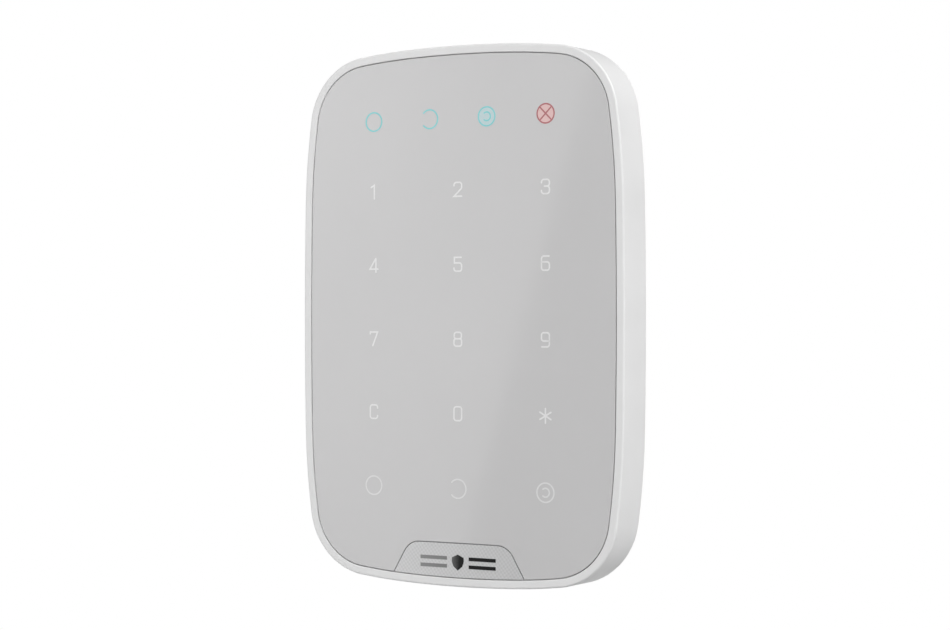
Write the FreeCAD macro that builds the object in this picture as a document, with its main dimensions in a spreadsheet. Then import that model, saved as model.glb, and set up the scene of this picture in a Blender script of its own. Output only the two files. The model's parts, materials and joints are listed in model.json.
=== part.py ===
import FreeCAD, Part
import math
import os
import re
import Sketcher
from FreeCAD import Placement, Rotation, Vector

# Wireless touch keypad for an alarm system, 103 x 150 x 14 mm, on its slide-on wall bracket.
# Frame: the wall is the plane y = 0 and the keypad faces -Y; X runs to the viewer's right, Z up.
# The origin is on the wall, behind the centre of the keypad. Depths are given as standoff, the
# distance from the wall, so a feature at standoff 12 lies at y = -12. Millimetres throughout.

DIMENSIONS = (
    # outline of the housing: five tangent arcs from the middle of a side to the middle of the top
    ("overall_width", 103.0, "housing, side to side"),
    ("overall_height", 150.0, "housing, bottom to top"),
    ("overall_depth", 14.0, "wall to the front of the rim"),
    ("wall", 0.0, "standoff of the wall itself"),
    ("side_break", 1.1, "degrees, end of the side arc"),
    ("shoulder_break", 8.0, "degrees, end of the side shoulder arc"),
    ("crown_break", 83.0, "degrees, end of the corner arc"),
    ("top_break", 87.3, "degrees, end of the top shoulder arc"),
    ("side_shoulder_radius", 210.0, "arc between side and corner"),
    ("corner_radius", 19.8, "corner arc"),
    ("top_shoulder_radius", 198.0, "arc between corner and top"),
    # front housing
    ("lock_boss_half_width", 5.5, "boss that the locking screw passes through"),
    ("lock_boss_back", 3.4, "standoff of that boss's back"),
    ("catch_half_length", 4.0, "catches that hold the board"),
    ("catch_half_width", 0.6, "catches that hold the board"),
    ("catch_offset_x", 20.0, "catches on the top and bottom edges"),
    ("catch_offset_z", 42.0, "catches on the side edges"),
    ("pilot_hole_back", 4.0, "standoff of the cover screws' pilot holes"),
    ("pilot_hole_depth", 6.1, "pilot holes past the cover's screw wells"),
    ("housing_back", 0.2, "standoff of the housing's back edge"),
    ("rim_width", 2.4, "flat rim beside the panel"),
    ("rim_edge_radius", 0.6, "rounding of the rim's outer edge"),
    ("back_edge_radius", 1.1, "rounding of the housing's back edge"),
    ("wall_thickness", 1.8, "side wall"),
    ("seat_inset", 4.4, "outline to the inner edge of the panel seat"),
    ("lip_inset", 5.4, "outline to the inner edge of the lip in front of the board"),
    ("seat_front", 12.8, "standoff of the face the panel is bonded to"),
    ("seat_back", 10.8, "standoff of the back of the panel seat"),
    # panel, badge and what is bonded under them
    ("panel_gap", 0.2, "gap all round the panel and round the badge"),
    ("panel_front", 13.95, "standoff of the panel's front"),
    ("panel_back", 13.0, "standoff of the panel's back"),
    ("badge_top", -63.0, "height of the badge's upper edge"),
    ("badge_top_half", 15.65, "half width of the badge at its upper edge"),
    ("badge_foot", -75.0, "height of the line where the badge's slanted sides are 22.7 out"),
    ("badge_foot_half", 22.7, "half width of the badge at its foot line"),
    ("badge_corner_radius", 5.5, "rounding of the badge's upper corners"),
    ("emblem_relief", 0.05, "how far the emblem stands off the badge"),
    ("emblem_z", -68.2, "height of the emblem's centre"),
    ("emblem_half_height", 2.2, "half the height of the emblem"),
    ("emblem_bar_length", 8.6, "length of each bar of the emblem"),
    ("emblem_bar_height", 1.0, "height of each bar of the emblem"),
    ("mask_inset", 5.6, "outline to the edge of the light mask"),
    ("mask_window_radius", 3.4, "window of the light mask round each light"),
    # keys and status lights
    ("key_pitch_x", 27.6, "key to key across"),
    ("key_pitch_z", 20.7, "key row to key row"),
    ("key_top_row", 35.1, "height of the keys 1, 2 and 3"),
    ("status_pitch", 18.42, "status icon to status icon"),
    ("status_row", 54.9, "height of the status icons"),
    ("led_length", 1.6, "light emitter"),
    ("led_width", 0.8, "light emitter"),
    ("led_height", 0.4, "light emitter"),
    # circuit board
    ("board_inset", 4.6, "outline to the board's edge"),
    ("board_front", 12.3, "standoff of the board's front"),
    ("board_back", 11.5, "standoff of the board's back"),
    # batteries and their bay
    ("cell_length", 44.5, "AAA cell with its nub"),
    ("cell_radius", 5.1, "AAA cell"),
    ("cell_pitch", 10.7, "cell to cell"),
    ("cell_axis", 6.3, "standoff of the cells' axes"),
    ("bay_centre", -35.0, "height of the bay's centre"),
    ("nub_gap", 0.9, "room for the contact at a cell's nub"),
    ("spring_gap", 2.9, "room for the spring at a cell's flat end"),
    ("bay_clearance", 0.25, "outer cell to the bay's side"),
    ("bay_wall", 0.9, "wall of the cradle and of the cover's bulge"),
    ("contact_thickness", 0.3, "contact plate"),
    ("contact_width", 7.0, "contact plate"),
    ("spring_wire", 0.6, "wire of the battery springs"),
    ("spring_turns", 2.5, "turns of a battery spring"),
    ("contact_back_reach", 3.0, "contacts, from the cells' axis towards the wall"),
    ("contact_front_reach", 1.0, "contacts, from the cells' axis towards the board"),
    ("peg_offset_x", 2.6, "cradle's pegs, out from its side walls"),
    ("peg_offset_z", 14.0, "cradle's pegs, up and down from its middle"),
    ("peg_radius", 0.9, "cradle's pegs"),
    ("peg_hole_radius", 1.1, "board's holes for the pegs"),
    ("ear_half", 3.0, "ears that carry the pegs"),
    ("ear_back", 10.0, "standoff of the ears' back"),
    ("spring_coil_radius", 2.5, "battery spring, centre line of the wire"),
    # rear cover
    ("cover_inset", 1.95, "outline to the cover's edge"),
    ("cover_back", 2.0, "standoff of the cover's back"),
    ("cover_front", 3.0, "standoff of the cover's inner face"),
    ("bulge_back", 0.4, "standoff of the back of the battery bulge"),
    ("bulge_floor", 0.7, "thickness of the bulge's back wall"),
    ("screw_well_radius", 3.4, "well that sinks each cover screw"),
    ("screw_well_front", 4.5, "standoff of the well's inner end"),
    ("screw_head_radius", 2.0, "cover screw"),
    ("screw_head_height", 1.3, "cover screw"),
    ("screw_head_back", 2.3, "standoff of the cover screw's head"),
    ("screw_radius", 1.05, "cover screw"),
    ("screw_length", 6.0, "cover screw, below the head"),
    ("boss_radius", 3.1, "screw boss of the housing"),
    ("boss_inset", 5.7, "outline to the centre of a screw boss, in the middle of the corner"),
    # wall bracket
    ("bracket_inset", 2.2, "outline to the bracket's edge"),
    ("bracket_front", 1.8, "thickness of the bracket"),
    ("lift_travel", 6.0, "how far the keypad slides up off its hooks"),
    ("hook_x", 36.0, "hooks, from the middle"),
    ("upper_hook_z", 46.0, "underside of the upper hooks"),
    ("lower_hook_z", -34.0, "underside of the lower hooks"),
    ("hook_width", 6.0, "hook"),
    ("hook_stem", 3.0, "height of the part that carries the keypad"),
    ("hook_lip", 5.0, "length of the lip above the stem"),
    ("hook_lip_back", 3.2, "standoff of the lip's back"),
    ("hook_front", 4.5, "standoff of the lip's front"),
    ("slide_clearance", 0.4, "cover slots round the hooks"),
    ("wall_hole_x", 30.0, "wall screws, from the middle"),
    ("upper_wall_hole_z", 60.0, "upper wall screws"),
    ("lower_wall_hole_z", -56.0, "lower wall screws"),
    ("wall_hole_radius", 2.25, "hole for a 4 mm wall screw"),
    ("wall_hole_depth", 0.7, "straight part of the hole, before the countersink"),
    ("countersink_radius", 4.0, "countersink at the bracket's front"),
    ("tab_z", 38.0, "middle of the break-off tamper section"),
    ("tab_half_width", 13.0, "break-off section"),
    ("tab_half_height", 8.0, "break-off section"),
    ("tab_slit", 0.9, "slit round the break-off section"),
    ("tab_bridge", 1.6, "bridges that hold the break-off section"),
    ("tab_hole_x", 6.0, "wall screw through the break-off section"),
    # locking screw in the underside
    ("lock_axis", 7.0, "standoff of the locking screw"),
    ("lock_head_radius", 2.6, "locking screw"),
    ("lock_head_height", 1.8, "locking screw"),
    ("lock_radius", 1.5, "locking screw, M3"),
    ("lock_length", 12.0, "locking screw, above the head"),
    ("lock_recess", 2.0, "outline to the underside of the head"),
    ("lug_half_width", 4.5, "bracket lug that takes the locking screw"),
    ("lug_bottom", -64.7, "lug"),
    ("lug_top", -61.2, "lug"),
    ("lug_front", 10.2, "standoff of the lug's front"),
    ("insert_radius", 2.4, "brass insert in the lug"),
    ("insert_bore", 1.56, "brass insert in the lug"),
    # tamper contact
    ("plunger_x", -6.0, "tamper plunger"),
    ("plunger_tip_radius", 1.5, "tamper plunger"),
    ("plunger_tip", 1.85, "standoff of the plunger's tip, against the bracket"),
    ("plunger_flange_radius", 2.8, "tamper plunger"),
    ("plunger_flange_back", 4.2, "standoff of the flange"),
    ("plunger_flange_front", 5.0, "standoff of the flange"),
    ("plunger_stem_radius", 1.0, "tamper plunger"),
    ("plunger_end", 8.9, "standoff of the stem's end"),
    ("tamper_wire", 0.5, "wire of the tamper spring"),
    ("tamper_coil_radius", 1.8, "tamper spring, centre line of the wire"),
    ("tamper_turns", 3, "turns of the tamper spring"),
    ("switch_back", 8.0, "standoff of the back of both switches"),
    ("switch_half", 3.5, "half width of both switches"),
    ("switch_bore", 1.3, "well in the switch that the stem enters"),
    ("switch_bore_floor", 10.6, "standoff of the well's floor"),
    # power button
    ("button_x", 20.0, "power button"),
    ("button_z", 18.0, "power button"),
    ("button_radius", 3.0, "power button"),
    ("button_flange_radius", 4.0, "power button"),
    ("button_flange_back", 3.1, "standoff of the button's flange"),
    ("button_flange_front", 3.9, "standoff of the button's flange"),
    ("button_end", 8.4, "standoff of the stem's end"),
    # sounder, radio and other large components
    ("buzzer_x", -30.0, "sounder"),
    ("buzzer_z", 26.0, "sounder"),
    ("buzzer_radius", 6.0, "sounder"),
    ("buzzer_back", 7.3, "standoff of the sounder's back"),
    ("antenna_back", 6.5, "standoff of the antennas' free edge"),
    ("antenna_thickness", 0.4, "antenna strip"),
    ("buzzer_mouth_radius", 1.3, "sounder"),
    ("buzzer_mouth_depth", 1.5, "sounder"),
    ("sound_hole_radius", 0.7, "cover's holes in front of the sounder"),
    ("sound_hole_pitch", 3.0, "cover's holes in front of the sounder"),
    ("shield_x", 26.0, "radio shield"),
    ("shield_z", 57.0, "radio shield"),
    ("shield_half_x", 9.0, "radio shield"),
    ("shield_half_z", 6.5, "radio shield"),
    ("shield_height", 2.4, "radio shield"),
    ("shield_skin", 0.3, "radio shield"),
    ("vent_radius", 0.6, "radio shield's vent holes"),
    ("vent_pitch", 3.0, "radio shield's vent holes"),
    ("capacitor_z", 3.0, "reservoir capacitors"),
    ("capacitor_radius", 3.15, "reservoir capacitors"),
    ("capacitor_length", 5.3, "reservoir capacitors"),
    ("crystal_half_x", 1.6, "crystal"),
    ("crystal_half_z", 1.25, "crystal"),
    ("crystal_height", 0.8, "crystal"),
    ("header_x", -38.0, "service header"),
    ("header_z", -4.0, "service header"),
    ("header_pitch", 2.0, "service header"),
    ("header_pin_half", 0.25, "service header"),
    ("header_base_height", 2.5, "service header"),
    ("header_pin_height", 5.0, "service header"),
    # rating label
    ("label_x", -20.0, "middle of the rating label"),
    ("label_z", 5.0, "middle of the rating label"),
    ("label_half_x", 17.0, "rating label"),
    ("label_half_z", 8.0, "rating label"),
    ("label_depth", 0.1, "rating label"),
)

doc = FreeCAD.newDocument("alarm_keypad")
os.makedirs("parts", exist_ok=True)

sheet = doc.addObject("Spreadsheet::Sheet", "dims")
for row, (alias, value, note) in enumerate(DIMENSIONS, start=1):
    sheet.set(f"A{row}", alias)
    sheet.set(f"B{row}", str(value))
    sheet.setAlias(f"B{row}", alias)
    sheet.set(f"C{row}", note)
doc.recompute()

ALIASES = {alias for alias, _, _ in DIMENSIONS}
nodes = []


# ---------------------------------------------------------------- helpers


def size(alias):
    """Number in the sheet's cell of that alias."""
    return float(sheet.get(alias))


def linked(formula):
    """The formula with every alias pointing to its cell of the sheet."""

    def cell(word):
        return "dims." + word.group() if word.group() in ALIASES else word.group()

    return re.sub(r"[a-z]\w*", cell, str(formula))


def bind(thing, **formulas):
    """Tie properties of an object to formulas on the sheet."""
    for name, formula in formulas.items():
        thing.setExpression(name, linked(formula))


def place(thing, x="0", y="0", z="0"):
    """Tie an object's position to formulas on the sheet."""
    for axis, formula in (("x", x), ("y", y), ("z", z)):
        thing.setExpression("Placement.Base." + axis, linked(formula))


def node(thing):
    """Count an object as one of the keypad's pieces; its name is the piece's name."""
    thing.Label = thing.Name
    nodes.append(thing)
    return thing


def block(name, x, standoff, z):
    """Box between two x, two standoffs and two heights, each a pair of formulas."""
    box = doc.addObject("Part::Box", name)
    bind(box, Length=f"({x[1]}) - ({x[0]})", Width=f"({standoff[1]}) - ({standoff[0]})")
    bind(box, Height=f"({z[1]}) - ({z[0]})")
    place(box, x[0], f"-({standoff[1]})", z[0])
    return box


def centred_block(name, centre, half, standoff):
    """Box about a point of the front view, centre and half being (x, z) formulas."""
    x, z = ((f"({c}) - ({h})", f"({c}) + ({h})") for c, h in zip(centre, half))
    return block(name, x, standoff, z)


def rod(name, centre, radius, standoff, front_radius=None):
    """Cylinder off the wall, or a cone if it has another radius at the front."""
    kind = "Part::Cone" if front_radius else "Part::Cylinder"
    thing = doc.addObject(kind, name)
    if front_radius:
        bind(thing, Radius1=radius, Radius2=front_radius)
    else:
        bind(thing, Radius=radius)
    bind(thing, Height=f"({standoff[1]}) - ({standoff[0]})")
    thing.Placement = Placement(Vector(), Rotation(Vector(1, 0, 0), 90))
    place(thing, centre[0], f"-({standoff[0]})", centre[1])
    return thing


def upright(name, x, standoff, radius, z):
    """Cylinder along Z."""
    thing = doc.addObject("Part::Cylinder", name)
    bind(thing, Radius=radius, Height=f"({z[1]}) - ({z[0]})")
    place(thing, x, f"-({standoff})", z[0])
    return thing


def fuse(name, *things):
    thing = doc.addObject("Part::MultiFuse", name)
    thing.Shapes = list(things)
    return thing


def common(name, *things):
    thing = doc.addObject("Part::MultiCommon", name)
    thing.Shapes = list(things)
    return thing


def group(name, *things):
    """Separate pieces of one kind as one node."""
    thing = doc.addObject("Part::Compound", name)
    thing.Links = list(things)
    return thing


def cut(name, base, *tools):
    thing = doc.addObject("Part::Cut", name)
    thing.Base = base
    thing.Tool = tools[0] if len(tools) == 1 else fuse(name + "_tools", *tools)
    return thing


def body(name, x="0", y="0", z="0"):
    thing = doc.addObject("PartDesign::Body", name)
    place(thing, x, y, z)
    return thing


def sketch(owner, name, plane="XZ_Plane", offset="0"):
    """Sketch on one of the body's origin planes; on XZ_Plane its normal points away from the wall."""
    thing = owner.newObject("Sketcher::SketchObject", name)
    origin_plane = [f for f in owner.Origin.OriginFeatures if f.Role == plane][0]
    thing.AttachmentSupport = [(origin_plane, "")]
    thing.MapMode = "FlatFace"
    thing.setExpression("AttachmentOffset.Base.z", linked(offset))
    return thing


def pin_down(drawing, element, point, position):
    """Hold one point of a sketch element at a pair of formulas."""
    for kind, formula in zip(("DistanceX", "DistanceY"), position):
        constraint = drawing.addConstraint(Sketcher.Constraint(kind, -1, 1, element, point, 1.0))
        drawing.setExpression(f"Constraints[{constraint}]", linked(formula))


def polygon(drawing, *corners):
    """Closed outline whose corners are pairs of formulas."""
    count = len(corners)
    first = drawing.GeometryCount
    ring = [
        Vector(math.cos(2 * math.pi * i / count), math.sin(2 * math.pi * i / count), 0)
        for i in range(count)
    ]
    for i in range(count):
        drawing.addGeometry(Part.LineSegment(ring[i], ring[(i + 1) % count]))
    for i in range(count):
        link = Sketcher.Constraint("Coincident", first + i, 2, first + (i + 1) % count, 1)
        drawing.addConstraint(link)
    for i, corner in enumerate(corners):
        pin_down(drawing, first + i, 1, corner)


def rectangle(drawing, x, z):
    polygon(drawing, (x[0], z[0]), (x[1], z[0]), (x[1], z[1]), (x[0], z[1]))


def circle(drawing, centre, radius):
    element = drawing.addGeometry(Part.Circle(Vector(), Vector(0, 0, 1), 1.0))
    pin_down(drawing, element, 3, centre)
    constraint = drawing.addConstraint(Sketcher.Constraint("Radius", element, 1.0))
    drawing.setExpression(f"Constraints[{constraint}]", linked(radius))


def pad(owner, drawing, length, reverse=False):
    thing = owner.newObject("PartDesign::Pad", drawing.Name + "_pad")
    thing.Profile = drawing
    thing.Reversed = reverse
    bind(thing, Length=length)
    doc.recompute()
    return thing


def pocket(owner, drawing, depth, reverse=False):
    """Pocket; raises an error if it removes nothing."""
    before = owner.Shape.Volume
    thing = owner.newObject("PartDesign::Pocket", drawing.Name + "_pocket")
    thing.Profile = drawing
    thing.Reversed = reverse
    bind(thing, Length=depth)
    doc.recompute()
    if owner.Shape.Volume > before - 1e-6:
        raise RuntimeError(f"{thing.Name} cuts nothing")
    return thing


def turned(owner, name, plane, *corners):
    """Solid of revolution about the sketch's upright axis."""
    drawing = sketch(owner, name, plane)
    polygon(drawing, *corners)
    thing = owner.newObject("PartDesign::Revolution", name + "_turned")
    thing.Profile = drawing
    thing.ReferenceAxis = (drawing, ["V_Axis"])
    thing.Angle = 360
    doc.recompute()
    return thing


def edges_where(shape, test):
    """Numbers of the edges whose middle and ends all pass the test."""
    found = []
    for number, edge in enumerate(shape.Edges, start=1):
        middle = edge.valueAt((edge.FirstParameter + edge.LastParameter) / 2)
        if all(test(point) for point in [middle] + [v.Point for v in edge.Vertexes]):
            found.append(number)
    return found


def rounded(owner, name, radius, test):
    """Fillet on the edges of the body's last feature that pass the test."""
    base = owner.Tip
    thing = owner.newObject("PartDesign::Fillet", name)
    thing.Base = (base, [f"Edge{n}" for n in edges_where(base.Shape, test)])
    bind(thing, Radius=radius)
    doc.recompute()
    return thing


def coil(name, centre, wire, coil_radius, turns, length, direction):
    """Round-wire spring from a start point, along a unit direction."""
    spine = doc.addObject("Part::Helix", name + "_path")
    bind(spine, Radius=coil_radius, Height=length, Pitch=f"({length}) / ({turns})")
    profile = doc.addObject("Part::Circle", name + "_wire")
    bind(profile, Radius=f"({wire}) / 2")
    profile.Placement = Placement(Vector(), Rotation(Vector(1, 0, 0), 90))
    place(profile, coil_radius)
    thing = doc.addObject("Part::Sweep", name)
    thing.Sections = [profile]
    thing.Spine = (spine, ["Edge1"])
    thing.Solid = True
    thing.Frenet = True
    thing.Placement = Placement(Vector(), Rotation(Vector(0, 0, 1), Vector(*direction)))
    place(thing, *centre)
    return thing


# ---------------------------------------------------------------- the outline


def outline_arcs():
    """Centres, radii and limits of the five arcs of the upper right quarter."""
    half_width = size("overall_width") / 2
    half_height = size("overall_height") / 2
    breaks = ("side_break", "shoulder_break", "crown_break", "top_break")
    angles = [math.radians(size(alias)) for alias in breaks]
    middle = [size(a) for a in ("side_shoulder_radius", "corner_radius", "top_shoulder_radius")]
    cosines = [math.cos(a) for a in angles]
    sines = [math.sin(a) for a in angles]
    steps = (-middle[0], middle[0] - middle[1], middle[1] - middle[2], middle[2])
    # the side arc and the top arc close the quarter, which makes two equations for their radii
    short_x = -half_width - sum(k * c for k, c in zip(steps, cosines))
    short_z = half_height - sum(k * s for k, s in zip(steps, sines))
    a, b, c, d = cosines[0] - 1, -cosines[3], sines[0], 1 - sines[3]
    side_radius = (short_x * d - b * short_z) / (a * d - b * c)
    top_radius = (a * short_z - c * short_x) / (a * d - b * c)
    radii = [side_radius] + middle + [top_radius]
    centres = [Vector(half_width - side_radius, 0, 0)]
    for i, angle in enumerate(angles):
        step = radii[i] - radii[i + 1]
        centres.append(centres[-1] + Vector(math.cos(angle), 0, math.sin(angle)) * step)
    return centres, radii, [0.0] + angles + [math.pi / 2]


def outline_face(inset, standoff, lift=0.0):
    """Face inside the outline, a constant distance in from it, parallel to the wall."""
    centres, radii, limits = outline_arcs()
    edges = []
    for mirror_x, mirror_z in ((1, 1), (-1, 1), (-1, -1), (1, -1)):
        quarter = []
        for centre, radius, start, end in zip(centres, radii, limits, limits[1:]):
            points = [
                Vector(
                    mirror_x * (centre.x + (radius - inset) * math.cos(angle)),
                    -standoff,
                    mirror_z * (centre.z + (radius - inset) * math.sin(angle)) + lift,
                )
                for angle in (start, (start + end) / 2, end)
            ]
            quarter.append(Part.Arc(*points).toShape())
        edges += quarter
    return Part.Face(Part.Wire(Part.__sortEdges__(edges)))


def slab(name, inset, back, front, lift=0.0):
    """Plate of the outline's shape between two standoffs, given by aliases."""
    profile = doc.addObject("Part::Feature", name + "_profile")
    profile.Shape = outline_face(inset, size(back), lift)
    profile.Placement = Placement()
    thing = doc.addObject("Part::Extrusion", name)
    thing.Base = profile
    thing.Solid = True
    thing.DirMode = "Custom"
    thing.Dir = Vector(0, -1, 0)
    bind(thing, LengthFwd=f"{front} - {back}")
    return thing


def corner_points(inset):
    """The four points in the middle of the corners, that far in from the outline."""
    centres, radii, _ = outline_arcs()
    reach = (radii[2] - inset) * math.sqrt(0.5)
    x, z = centres[2].x + reach, centres[2].z + reach
    return [(sx * x, sz * z) for sx in (-1, 1) for sz in (-1, 1)]


boss_points = corner_points(size("boss_inset"))
KEY_COLUMNS = ("-key_pitch_x", "0", "key_pitch_x")
KEY_ROWS = tuple(f"key_top_row - {i} * key_pitch_z" for i in range(5))
STATUS_COLUMNS = tuple(f"{i} * status_pitch" for i in (-1.5, -0.5, 0.5, 1.5))
KEY_LIGHTS = [[(x, z) for x in KEY_COLUMNS] for z in KEY_ROWS]
STATUS_LIGHTS = [(x, "status_row") for x in STATUS_COLUMNS]
BAY_HALF_X = "(1.5 * cell_pitch + cell_radius + bay_clearance)"
BAY_HALF_Z = "((cell_length + nub_gap + spring_gap) / 2)"
PEG_POINTS = [
    (f"{side}({BAY_HALF_X} + bay_wall + peg_offset_x)", f"bay_centre {end} peg_offset_z")
    for side in ("-", "")
    for end in ("-", "+")
]
HOOKS = [(side, level) for side in (-1, 1) for level in ("upper_hook_z", "lower_hook_z")]
WALL_HOLES = [
    (f"{side} * wall_hole_x", level)
    for side in (-1, 1)
    for level in ("upper_wall_hole_z", "lower_wall_hole_z")
]


# ---------------------------------------------------------------- front housing


def edge_rounding(name, base, radius, standoff):
    """Fillet all round one end of a slab."""
    doc.recompute()
    thing = doc.addObject("Part::Fillet", name)
    thing.Base = base
    numbers = edges_where(base.Shape, lambda p: abs(p.y + size(standoff)) < 1e-4)
    thing.Edges = [(n, size(radius), size(radius)) for n in numbers]
    return thing


def make_front_housing():
    """Moulded frame: rim, side wall, panel seat, screw bosses, board catches and lock screw boss."""
    outer = slab("shell", 0.0, "housing_back", "overall_depth")
    outer = edge_rounding("shell_rim_edge", outer, "rim_edge_radius", "overall_depth")
    outer = edge_rounding("shell_back_edge", outer, "back_edge_radius", "housing_back")
    shell = cut(
        "shell_hollow",
        outer,
        slab("panel_opening", size("rim_width"), "seat_front", "overall_depth"),
        slab("board_opening", size("seat_inset"), "seat_back", "board_front"),
        slab("light_opening", size("lip_inset"), "seat_back", "seat_front"),
        slab("main_opening", size("wall_thickness"), "housing_back", "seat_back"),
    )
    additions = []
    for number, (x, z) in enumerate(boss_points, start=1):
        standoff = ("screw_well_front + 0.1", "seat_front")
        additions.append(rod(f"screw_boss_{number}", (x, z), "boss_radius", standoff))
    # catches that hold the board's edge against the lip
    side = "overall_width / 2 - seat_inset"
    top = "overall_height / 2 - seat_inset"
    for number, (x, z) in enumerate(
        [(f"{s}({side})", z) for s in ("", "-") for z in ("-catch_offset_z", "0", "catch_offset_z")]
        + [(x, f"{s}({top})") for s in ("", "-") for x in ("-catch_offset_x", "catch_offset_x")],
        start=1,
    ):
        half = ("catch_half_width", "catch_half_length")
        if side not in x:
            half = half[::-1]
        catch_standoff = ("seat_back", "board_back - 0.1")
        additions.append(centred_block(f"board_catch_{number}", (x, z), half, catch_standoff))
    foot = "-overall_height / 2"
    boss_z = (f"{foot} + wall_thickness - 0.4", f"{foot} + lock_recess + wall_thickness")
    boss_x = ("-lock_boss_half_width", "lock_boss_half_width")
    additions.append(block("lock_boss", boss_x, ("lock_boss_back", "seat_back + 0.2"), boss_z))
    whole = fuse("shell_with_bosses", shell, *additions)
    pilot = ("pilot_hole_back", "screw_well_front + pilot_hole_depth")
    holes = [
        rod(f"pilot_hole_{n}", (x, z), "screw_radius + 0.02", pilot)
        for n, (x, z) in enumerate(boss_points, start=1)
    ]
    recess = (f"{foot} - 1", f"{foot} + lock_recess")
    passage = (foot, f"{foot} + 6")
    holes.append(upright("lock_recess_hole", "0", "lock_axis", "lock_head_radius + 0.4", recess))
    holes.append(upright("lock_passage", "0", "lock_axis", "lock_radius + 0.3", passage))
    return node(cut("front_housing", whole, *holes))


# ---------------------------------------------------------------- panel, badge and backlight


def badge_wedge(name, gap, back, front):
    """Trapezoid with rounded upper corners, that much larger all round than the badge."""
    thing = body(name)
    drawing = sketch(thing, name + "_outline", offset=back)
    top = (f"badge_top_half + {gap}", f"badge_top + {gap}")
    foot = (f"badge_foot_half + 1.2 * {gap}", "badge_foot")
    mirror_top = (f"-({top[0]})", top[1])
    mirror_foot = (f"-({foot[0]})", foot[1])
    polygon(drawing, foot, top, mirror_top, mirror_foot)
    pad(thing, drawing, f"({front}) - ({back})")
    level = size("badge_top") - 1
    upper = lambda p: p.z > level and abs(p.x) > size("badge_top_half") - 1
    rounded(thing, name + "_corners", f"badge_corner_radius + {gap}", upper)
    return thing


def make_panel():
    """Touch panel with its badge, and the frame, film and mask under them."""
    inset = size("rim_width") + size("panel_gap")
    notch = badge_wedge("badge_notch", "panel_gap", "panel_back - 1", "panel_front + 1")
    node(cut("touch_panel", slab("panel_blank", inset, "panel_back", "panel_front"), notch))

    wedge = badge_wedge("badge_shape", "0", "panel_back - 1", "panel_front + 1")
    node(common("badge_plate", slab("badge_blank", inset, "panel_back", "panel_front"), wedge))

    frame = slab("adhesive_blank", inset, "seat_front", "panel_back")
    opening = slab("adhesive_opening", size("seat_inset"), "seat_front", "panel_back")
    node(cut("panel_adhesive", frame, opening))
    node(slab("diffuser_film", size("seat_inset") + 0.1, "seat_front", "panel_back"))

    lights = [light for row in KEY_LIGHTS for light in row] + STATUS_LIGHTS
    windows = [
        rod(f"mask_window_{n}", light, "mask_window_radius", ("board_front", "seat_front"))
        for n, light in enumerate(lights, start=1)
    ]
    notches = [
        rod(f"mask_notch_{n}", point, "boss_radius + 0.5", ("board_front", "seat_front"))
        for n, point in enumerate(boss_points, start=1)
    ]
    mask = slab("mask_blank", size("mask_inset"), "board_front", "seat_front")
    node(cut("light_mask", mask, *windows, *notches))


def make_badge_mark():
    """Plain emblem: a shield between two pairs of bars."""
    standoff = ("panel_front", "panel_front + emblem_relief")
    shield = body("emblem_shield", z="emblem_z")
    drawing = sketch(shield, "emblem_shield_outline", offset=standoff[0])
    tall, broad = "emblem_half_height", "emblem_half_height * 0.86"
    shoulder, waist = "emblem_half_height * 0.62", "emblem_half_height * 0.25"
    polygon(
        drawing,
        ("0", f"-{tall}"),
        (f"{broad} * 0.75", f"-{waist} * 2"),
        (broad, f"{waist} * 0.4"),
        (broad, shoulder),
        ("0", tall),
        (f"-{broad}", shoulder),
        (f"-{broad}", f"{waist} * 0.4"),
        (f"-{broad} * 0.75", f"-{waist} * 2"),
    )
    pad(shield, drawing, "emblem_relief")
    bars = []
    for side in ("-", ""):
        for level in ("-", ""):
            centre = (
                f"{side}(emblem_half_height + 1.3 + emblem_bar_length / 2)",
                f"emblem_z {level or '+'} emblem_half_height / 2",
            )
            half = ("emblem_bar_length / 2", "emblem_bar_height / 2")
            bars.append(centred_block(f"emblem_bar_{len(bars) + 1}", centre, half, standoff))
    node(group("badge_mark", shield, *bars))


# ---------------------------------------------------------------- circuit board


def make_main_board():
    """Board that fills the housing, cut back round the screw bosses and bored for the cradle's pegs."""
    standoff = ("board_back", "board_front")
    holes = [
        rod(f"board_notch_{n}", point, "boss_radius + 0.4", standoff)
        for n, point in enumerate(boss_points, start=1)
    ]
    holes += [
        rod(f"board_peg_hole_{n}", peg, "peg_hole_radius", standoff)
        for n, peg in enumerate(PEG_POINTS, start=1)
    ]
    node(cut("main_board", slab("board_blank", size("board_inset"), *standoff), *holes))


def make_lights():
    """Surface-mount emitters: one row of three for each row of keys, and four for the icons."""
    rows = [(f"key_leds_row_{n}", row) for n, row in enumerate(KEY_LIGHTS, start=1)]
    for name, lights in rows + [("status_leds", STATUS_LIGHTS)]:
        half = ("led_length / 2", "led_width / 2")
        standoff = ("board_front", "board_front + led_height")
        chips = [
            centred_block(f"{name}_chip_{n}", light, half, standoff)
            for n, light in enumerate(lights, start=1)
        ]
        node(group(name, *chips))


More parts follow.
